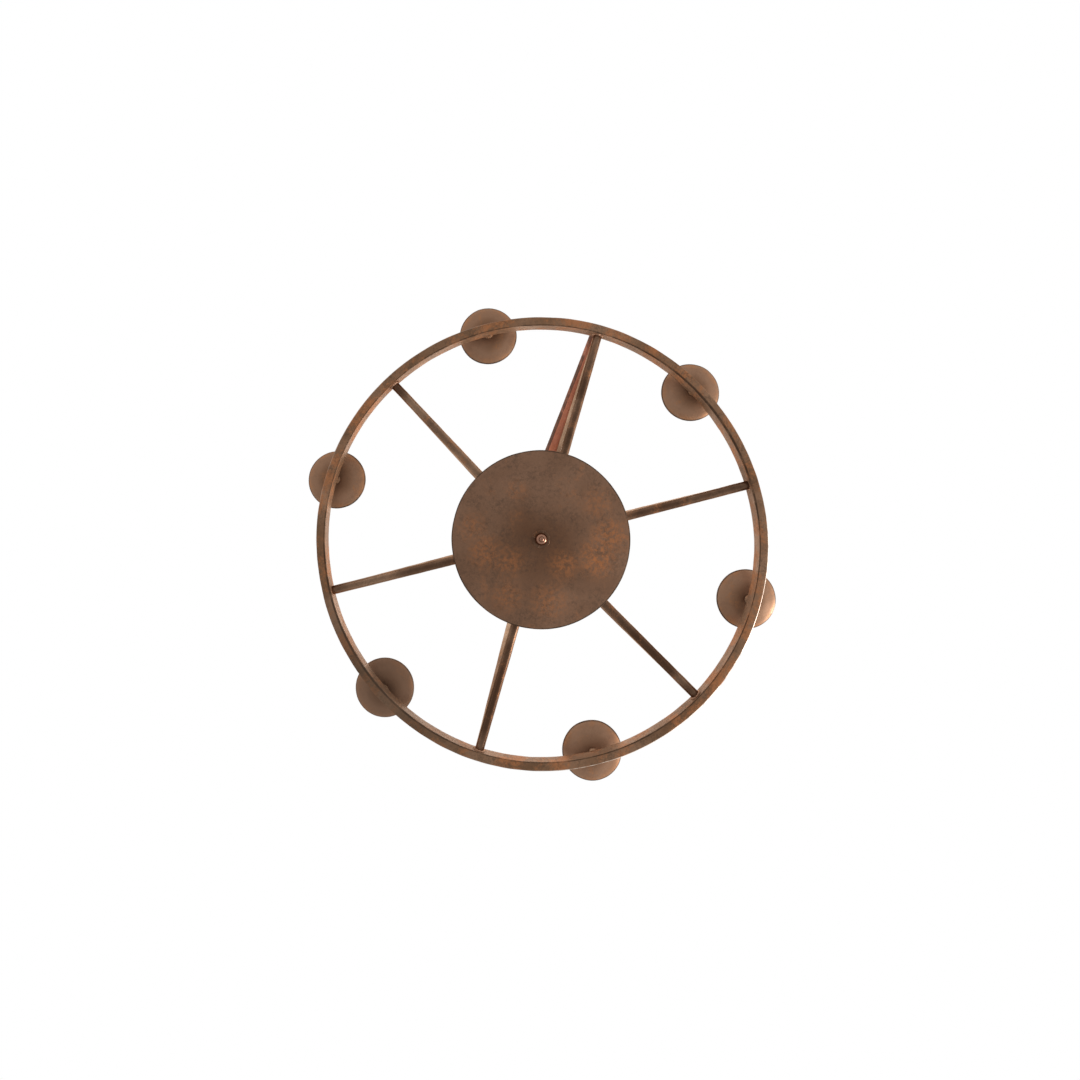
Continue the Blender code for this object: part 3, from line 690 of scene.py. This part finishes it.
def makeTurned(node, outer, piece, shift):
    low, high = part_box(node)
    shape = tubeShape(column["rodHole"], outer, low.z, high.z, column["edge"], column["steps"])
    handWork(shape, column["dents"], column["dentSize"], shift)
    finishPiece(shape, piece, "barPatina", [node])


def makeColumn():
    hole = column["rodHole"]
    makeTurned("hub", column["hub"], "turned_hub", 1)
    makeTurned("top_collar", column["collar"], "turned_collar", 2)
    low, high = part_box("column_tube")
    tube = tubeShape(hole, hole + column["wall"], low.z, high.z, column["tubeEdge"], column["tubeSteps"],
                     column["tubeLevels"], segments=2)
    handWork(tube, column["tubeDents"], column["tubeDentSize"], 7)
    finishPiece(tube, "spacer_tube", "barPatina", ["column_tube"])
    low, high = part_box("top_washer")
    washer = tubeShape(hole, high.x, low.z, high.z, column["washerEdge"], column["smallSteps"])
    finishPiece(washer, "round_washer", "plainSteel", ["top_washer"])
    low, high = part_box("plate_spacer")
    sleeve = tubeShape(hole, high.x, low.z, high.z, column["sleeveEdge"], column["smallSteps"])
    finishPiece(sleeve, "plate_sleeve", "barPatina", ["plate_spacer"])


def makeNut():
    # the hexagon from the frame, its doubles merged, with broken edges
    shape = bmesh.new()
    shape.from_mesh(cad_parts["lock_nut"].data)
    bmesh.ops.remove_doubles(shape, verts=shape.verts, dist=0.00001)
    bmesh.ops.dissolve_limit(shape, angle_limit=math.radians(2), verts=shape.verts, edges=shape.edges)
    bevelSharp(shape, column["nutEdge"], segments=2, angle=40)
    finishPiece(shape, "hexagon_nut", "plainSteel", ["lock_nut"])


makeColumn()
makeNut()
print("column made")


# Bottom plate with its washer. Dents are (depth, size) pairs, the lip is the turned-up rim.
plate = dict(radius=0.120, dish=0.010, lip=0.0025, sheet=0.0015, hole=0.0054, hem=0.0012, rings=26, steps=200,
             upperEnd=0.0005, wideDents=(0.00035, 0.032), fineDents=(0.00010, 0.009),
             washerEdge=0.0004, washerSteps=64)


def makePlate():
    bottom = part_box("bottom_plate")[0].z
    outer = plate["radius"] - plate["hem"]
    dish = []
    for i in range(plate["rings"] + 1):
        radius = plate["hole"] + (outer - plate["hole"]) * i / plate["rings"]
        dish.append((radius, bottom + plate["dish"] * (radius / plate["radius"]) ** 2))
    edgeZ = dish[-1][1] + plate["hem"]
    lipTop = bottom + plate["dish"] + plate["lip"] + plate["sheet"]
    half = plate["sheet"] / 2
    under = dish[:-1] + arc(outer, edgeZ, plate["hem"], -78, 0, 6)
    under += arc(plate["radius"] - half, lipTop - half, half, 10, 170, 6)
    upper = [(r, z + plate["sheet"]) for r, z in reversed(dish[:-1]) if r < outer - plate["upperEnd"]]
    shape = spinProfile(under + upper, plate["steps"], closed=True)
    handWork(shape, *plate["wideDents"], 2)
    handWork(shape, *plate["fineDents"], 8)
    finishPiece(shape, "dished_plate", "platePatina", ["bottom_plate"], smooth=50)
    low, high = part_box("finial_washer")
    washer = tubeShape(plate["hole"], high.x, low.z, high.z, plate["washerEdge"], plate["washerSteps"])
    finishPiece(washer, "finial_seat_washer", "barPatina", ["finial_washer"])


# The ball finial. Hidden, depth, neck and nub are shares of the ball's or the tip's size.
finial = dict(ball=0.0165, collar=0.014, tip=0.007, collarHeight=0.0025, corner=0.0008, hole=0.0054, steps=64,
              hidden=0.82, depth=0.55, neck=0.8, nub=0.35)


def makeFinial():
    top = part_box("finial")[1].z
    ball, tip, collar = finial["ball"] / 2, finial["tip"] / 2, finial["collar"] / 2
    corner = finial["corner"]
    centre = top - finial["collarHeight"] - ball * finial["hidden"]
    depth = finial["ball"] * finial["depth"]
    start = math.degrees(math.asin(finial["hidden"]))
    stop = -math.degrees(math.acos(tip * finial["neck"] / ball))
    nub = centre - ball - tip * finial["nub"]
    profile = [(0, top - depth), (finial["hole"], top - depth), (finial["hole"], top)]
    profile += arc(collar - corner, top - corner, corner, 90, 0, 3)
    profile += arc(collar - corner, top - finial["collarHeight"] + corner, corner, 0, -90, 3)
    profile += arc(0, centre, ball, start, stop, 24)
    profile += arc(0, nub, tip, 10, -90, 10)[:-1] + [(0, nub - tip)]
    shape = spinProfile(profile, finial["steps"])
    finishPiece(shape, "ball_finial", "finialBronze", ["finial"], body="finial")


makePlate()
makeFinial()
print("plate and finial made")


# Candle stations: stem, pan, cup and screw. Radii and heights of a profile are from its own piece.
stationRadius = (ring["outer"] + ringInner) / 2
stem = dict(across=0.013, foot=0.0016, fillet=0.0018, edge=0.0005, hole=0.0029, steps=40)
pan = dict(across=0.082, crease=0.0365, flat=0.0135, inner=0.6, depth=0.0115, half=0.0071,
           curve=1.4, curveSteps=8, roll=0.0009, rimIn=(0.0014, 0.0018), rimOut=(0.0004, 0.0026),
           innerShift=(0.6, 0.9), sheet=0.0012, hole=0.0029, steps=96, dents=0.00022, dentSize=0.018)
cup = dict(bore=0.0225, wall=0.0012, height=0.030, foot=0.001, floor=0.0018, floorEdge=0.0028, lipDrop=0.0022,
           lip=0.0011, lipIn=0.0010, levels=(0.35, 0.7, 0.6), hole=0.0029, steps=56,
           dents=0.00012, dentSize=0.012)
screw = dict(head=0.010, shank=0.005, headHeight=0.0028, dome=0.0018, domeUp=0.0010, steps=32,
             socket=((0, 0.0014), (0.0017, 0.0013), (0.0021, 0.0001)))
stationWelds = dict(inward=0.0012, innerDown=0.0005, innerBlob=(0.0042, 0.0056, 0.0036),
                    outerDown=0.0002, outerBlob=(0.0022, 0.0050, 0.0024))


def panProfile(low):
    # underside from the hole out to the rim, round the rim, and back along the upper side
    outer, flat, roll = pan["across"] / 2, pan["flat"], pan["roll"]
    under = [(pan["hole"], 0), (flat * pan["inner"], 0), (flat, 0)]
    for i in range(1, pan["curveSteps"] + 1):
        share = i / pan["curveSteps"]
        under.append((flat + (pan["crease"] - flat) * share, pan["half"] * share ** pan["curve"]))
    under += [(outer - inward, pan["half"] + up) for inward, up in (pan["rimIn"], pan["rimOut"])]
    rim = arc(outer - roll, pan["depth"] - roll, roll, 0, 180, 8)
    inward, up = (pan["sheet"] * share for share in pan["innerShift"])
    upper = [(r - inward, z + up) for r, z in reversed(under[2:-1])] + [(pan["hole"], pan["sheet"])]
    return [(r, low + z) for r, z in under + rim + upper]


def stemProfile(low, high):
    radius, edge = stem["across"] / 2, stem["edge"]
    fillet = arc(radius + stem["foot"], low + stem["fillet"], stem["fillet"], 265, 180, 4)
    top = [(radius, high - edge), (radius - edge, high), (stem["hole"], high)]
    return [(stem["hole"], low)] + fillet + top


def cupProfile(low):
    bore, height = cup["bore"] / 2, cup["height"]
    outer, foot = bore + cup["wall"], cup["foot"]
    lowLevel, midLevel, innerLevel = cup["levels"]
    points = [(cup["hole"], 0), (outer - foot, 0), (outer, foot), (outer, height * lowLevel),
              (outer, height * midLevel), (outer, height - cup["lipDrop"])]
    points += arc(bore + cup["lipIn"], height - cup["lip"], cup["lip"], -30, 170, 7)
    points += [(bore, height * innerLevel), (bore, cup["floorEdge"]), (bore - foot, cup["floor"]),
               (cup["hole"], cup["floor"])]
    return [(r, low + z) for r, z in points]


def screwProfile(low, high):
    head, shank = screw["head"] / 2, screw["shank"] / 2
    seat = high - screw["headHeight"]
    points = [(r, high - down) for r, down in screw["socket"]]
    points += arc(head - screw["dome"], seat + screw["domeUp"], screw["dome"], 88, 0, 5)
    return points + [(head, seat), (shank, seat), (shank, low), (0, low)]


def movedTo(shape, angle):
    bmesh.ops.translate(shape, vec=polar(stationRadius, angle, 0), verts=shape.verts)
    return shape


def makeStations():
    stemLow, stemHigh = (corner.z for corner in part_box("stem_1"))
    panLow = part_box("pan_1")[0].z
    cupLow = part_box("candle_cup_1")[0].z
    screwLow, screwHigh = (corner.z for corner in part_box("cup_screw_1"))
    ringTop = underside + ring["height"]
    welds = bmesh.new()
    for k, angle in enumerate(candleAngles, start=1):
        post = movedTo(spinProfile(stemProfile(stemLow, stemHigh), stem["steps"], closed=True), angle)
        finishPiece(post, f"pan_stem_{k}", "barPatina", [f"stem_{k}"])

        dish = movedTo(spinProfile(panProfile(panLow), pan["steps"], closed=True), angle)
        handWork(dish, pan["dents"], pan["dentSize"], k)
        finishPiece(dish, f"drip_pan_{k}", "panPatina", [f"pan_{k}"], smooth=24)

        holder = movedTo(spinProfile(cupProfile(cupLow), cup["steps"], closed=True), angle)
        handWork(holder, cup["dents"], cup["dentSize"], 40 + k)
        finishPiece(holder, f"turned_cup_{k}", "cupPatina", [f"candle_cup_{k}"])

        fastener = movedTo(spinProfile(screwProfile(screwLow, screwHigh), screw["steps"]), angle)
        finishPiece(fastener, f"socket_screw_{k}", "plainSteel", [f"cup_screw_{k}"])
        inner = polar(ringInner + stationWelds["inward"], angle, ringTop - stationWelds["innerDown"])
        weldBlob(welds, inner, stationWelds["innerBlob"], angle, 60 + k)
        outer = polar(ring["outer"] - stationWelds["inward"], angle, ringTop - stationWelds["outerDown"])
        weldBlob(welds, outer, stationWelds["outerBlob"], angle, 80 + k)
    finishPiece(welds, "stem_weld_beads", "ringPatina")


makeStations()
print("candle stations made")


# Hanging loop, which screws on the rod, and the hanging ring. Levels are above the loop's foot.
hanging = dict(loopWire=0.003, loopMiddle=0.014, loopDents=(0.00015, 0.010),
               stub=0.0084, stubCorner=0.001, shoulder=0.0105, fillet=0.0025, neckSteps=48,
               neck=((1.5, 0.0150), (1.15, 0.0168), (0, 0.0172)), holeTop=0.0112,
               linkWire=0.003, linkMiddle=0.025, linkDents=(0.00012, 0.012))


def makeHanging():
    low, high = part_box("hanging_loop")
    eyeZ = high.z - hanging["loopMiddle"] - hanging["loopWire"]
    eye = wireRing(hanging["loopMiddle"], hanging["loopWire"])
    bmesh.ops.rotate(eye, cent=(0, 0, 0), matrix=Matrix.Rotation(math.pi / 2, 3, "Y"), verts=eye.verts)
    bmesh.ops.translate(eye, vec=(0, 0, eyeZ), verts=eye.verts)
    handWork(eye, *hanging["loopDents"], 1)
    finishPiece(eye, "loop_eye", "barPatina", ["hanging_loop"])

    stub, corner, fillet, hole = hanging["stub"], hanging["stubCorner"], hanging["fillet"], column["rodHole"]
    shoulder, holeTop = low.z + hanging["shoulder"], low.z + hanging["holeTop"]
    profile = [(hole, low.z), (stub - corner, low.z), (stub, low.z + corner), (stub, shoulder)]
    profile += arc(stub - fillet, shoulder, fillet, 0, 60, 4)
    profile += [(hanging["loopWire"] * wires, low.z + up) for wires, up in hanging["neck"]]
    profile += [(0, holeTop), (hole, holeTop)]
    shape = spinProfile(profile, hanging["neckSteps"])
    handWork(shape, *hanging["loopDents"], 2)
    finishPiece(shape, "loop_stub", "barPatina", ["hanging_loop"])

    link = wireRing(hanging["linkMiddle"], hanging["linkWire"], around=96, across=24)
    bmesh.ops.rotate(link, cent=(0, 0, 0), matrix=Matrix.Rotation(math.pi / 2, 3, "X"), verts=link.verts)
    low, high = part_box("hanging_ring")
    bmesh.ops.translate(link, vec=(0, 0, (low.z + high.z) / 2), verts=link.verts)
    handWork(link, *hanging["linkDents"], 3)
    finishPiece(link, "wire_hanging_ring", "barPatina", ["hanging_ring"], body="hanger")


makeHanging()
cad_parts["threaded_rod"].data.materials.clear()
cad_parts["threaded_rod"].data.materials.append(materials["plainSteel"])
print("hanging pieces made")


# Floor, light and camera. Below, horizon and above are how bright the sky is at those heights.
studio = dict(floorZ=-1.62, floorSize=14.0, floorColour=(0.86, 0.85, 0.83), floorShade=0.97, floorRough=0.7,
              below=0.62, horizon=1.30, above=1.15, lowest=-0.95, highest=0.9,
              keyAzimuth=97, keyEdge=0.82, keyGain=2.2, lift=0.1,
              shadeAzimuth=194, shadeEdge=0.10, shadeLoss=0.25,
              keyDistance=1.8, keyLevel=-0.42, keySize=0.7, keyPower=22, keyColour=(1.0, 0.97, 0.94),
              topPlace=(0.4, 0.3, 1.6), topSize=1.4, topPower=14,
              lens=25.17, shiftX=0.0499, shiftY=-0.0632,
              cameraPlace=(-0.0004, -0.0486, -1.4463), cameraTurn=(-175.651, -1.484, 73.8))


def makeFloor():
    shape = bmesh.new()
    bmesh.ops.create_circle(shape, cap_ends=True, segments=96, radius=studio["floorSize"])
    bmesh.ops.translate(shape, vec=(0, 0, studio["floorZ"]), verts=shape.verts)
    mesh = bpy.data.meshes.new("studio_floor")
    shape.to_mesh(mesh)
    shape.free()
    material = bpy.data.materials.new("paleFloor")
    material.use_nodes = True
    tree = material.node_tree
    shader = tree.nodes["Principled BSDF"]
    place = addNode(tree, "ShaderNodeTexCoord").outputs["Object"]
    cloudy = smoothRange(tree, noiseNode(tree, place, scale=1.3, rough=0.5), low=0.3, high=0.7)
    pale = studio["floorColour"]
    colour = mixColour(tree, cloudy, tuple(part * studio["floorShade"] for part in pale), pale)
    tree.links.new(colour, shader.inputs["Base Color"])
    shader.inputs["Roughness"].default_value = studio["floorRough"]
    mesh.materials.append(material)
    floor = bpy.data.objects.new("studio_floor", mesh)
    bpy.context.scene.collection.objects.link(floor)
    floor.visible_diffuse = False
    floor.visible_glossy = False


def lobe(tree, way, azimuth, edge, gain):
    # a soft patch of sky round one azimuth, just above the horizon
    turn = math.radians(azimuth)
    middle = (math.cos(turn), math.sin(turn), studio["lift"])
    facing = addNode(tree, "ShaderNodeVectorMath", {0: way, 1: middle},
                     operation="DOT_PRODUCT").outputs["Value"]
    return smoothRange(tree, facing, edge, 1.0, 0.0, gain)


def makeWorld():
    # white behind everything; the light itself is soft, dimmer from below and brighter from the key's side
    world = bpy.data.worlds.new("studioSky")
    bpy.context.scene.world = world
    world.use_nodes = True
    tree = world.node_tree
    back = tree.nodes["Background"]
    way = addNode(tree, "ShaderNodeTexCoord").outputs["Generated"]
    height = addNode(tree, "ShaderNodeSeparateXYZ", {0: way}).outputs["Z"]
    lower = smoothRange(tree, height, studio["lowest"], 0.0, studio["below"], studio["horizon"])
    upper = smoothRange(tree, height, 0.0, studio["highest"], 0.0, studio["above"] - studio["horizon"])
    glow = lobe(tree, way, studio["keyAzimuth"], studio["keyEdge"], studio["keyGain"])
    shade = lobe(tree, way, studio["shadeAzimuth"], studio["shadeEdge"], studio["shadeLoss"])
    light = mathNode(tree, "ADD", mathNode(tree, "ADD", lower, upper), glow)
    light = mathNode(tree, "MULTIPLY", light, mathNode(tree, "SUBTRACT", 1.0, shade))
    seen = addNode(tree, "ShaderNodeLightPath").outputs["Is Camera Ray"]
    strength = addNode(tree, "ShaderNodeMix", {0: seen, 2: light, 3: 1.0}, data_type="FLOAT").outputs[0]
    back.inputs["Color"].default_value = (1.0, 1.0, 1.0, 1.0)
    tree.links.new(strength, back.inputs["Strength"])


def addSoftLight(name, place, size, power, colour=(1, 1, 1)):
    lamp = bpy.data.lights.new(name, "AREA")
    lamp.shape = "DISK"
    lamp.size = size
    lamp.energy = power
    lamp.color = colour
    holder = bpy.data.objects.new(name, lamp)
    bpy.context.scene.collection.objects.link(holder)
    holder.location = place
    aim = Vector((0, 0, underside)) - Vector(place)
    holder.rotation_euler = aim.to_track_quat("-Z", "Y").to_euler()
    holder.visible_camera = False


def makeCamera():
    lens = bpy.data.cameras.new("underneath")
    lens.sensor_width = 36
    lens.lens = studio["lens"]
    lens.shift_x = studio["shiftX"]
    lens.shift_y = studio["shiftY"]
    lens.clip_start = 0.05
    lens.clip_end = 60
    camera = bpy.data.objects.new("underneath", lens)
    camera.location = studio["cameraPlace"]
    camera.rotation_euler = [math.radians(turn) for turn in studio["cameraTurn"]]
    bpy.context.scene.collection.objects.link(camera)
    bpy.context.scene.camera = camera


makeFloor()
makeWorld()
keyPlace = polar(studio["keyDistance"], math.radians(studio["keyAzimuth"]), studio["keyLevel"])
addSoftLight("key_light", keyPlace, studio["keySize"], studio["keyPower"], studio["keyColour"])
addSoftLight("top_light", studio["topPlace"], studio["topSize"], studio["topPower"])
makeCamera()
bpy.context.scene.view_settings.view_transform = "Standard"
print("studio ready")
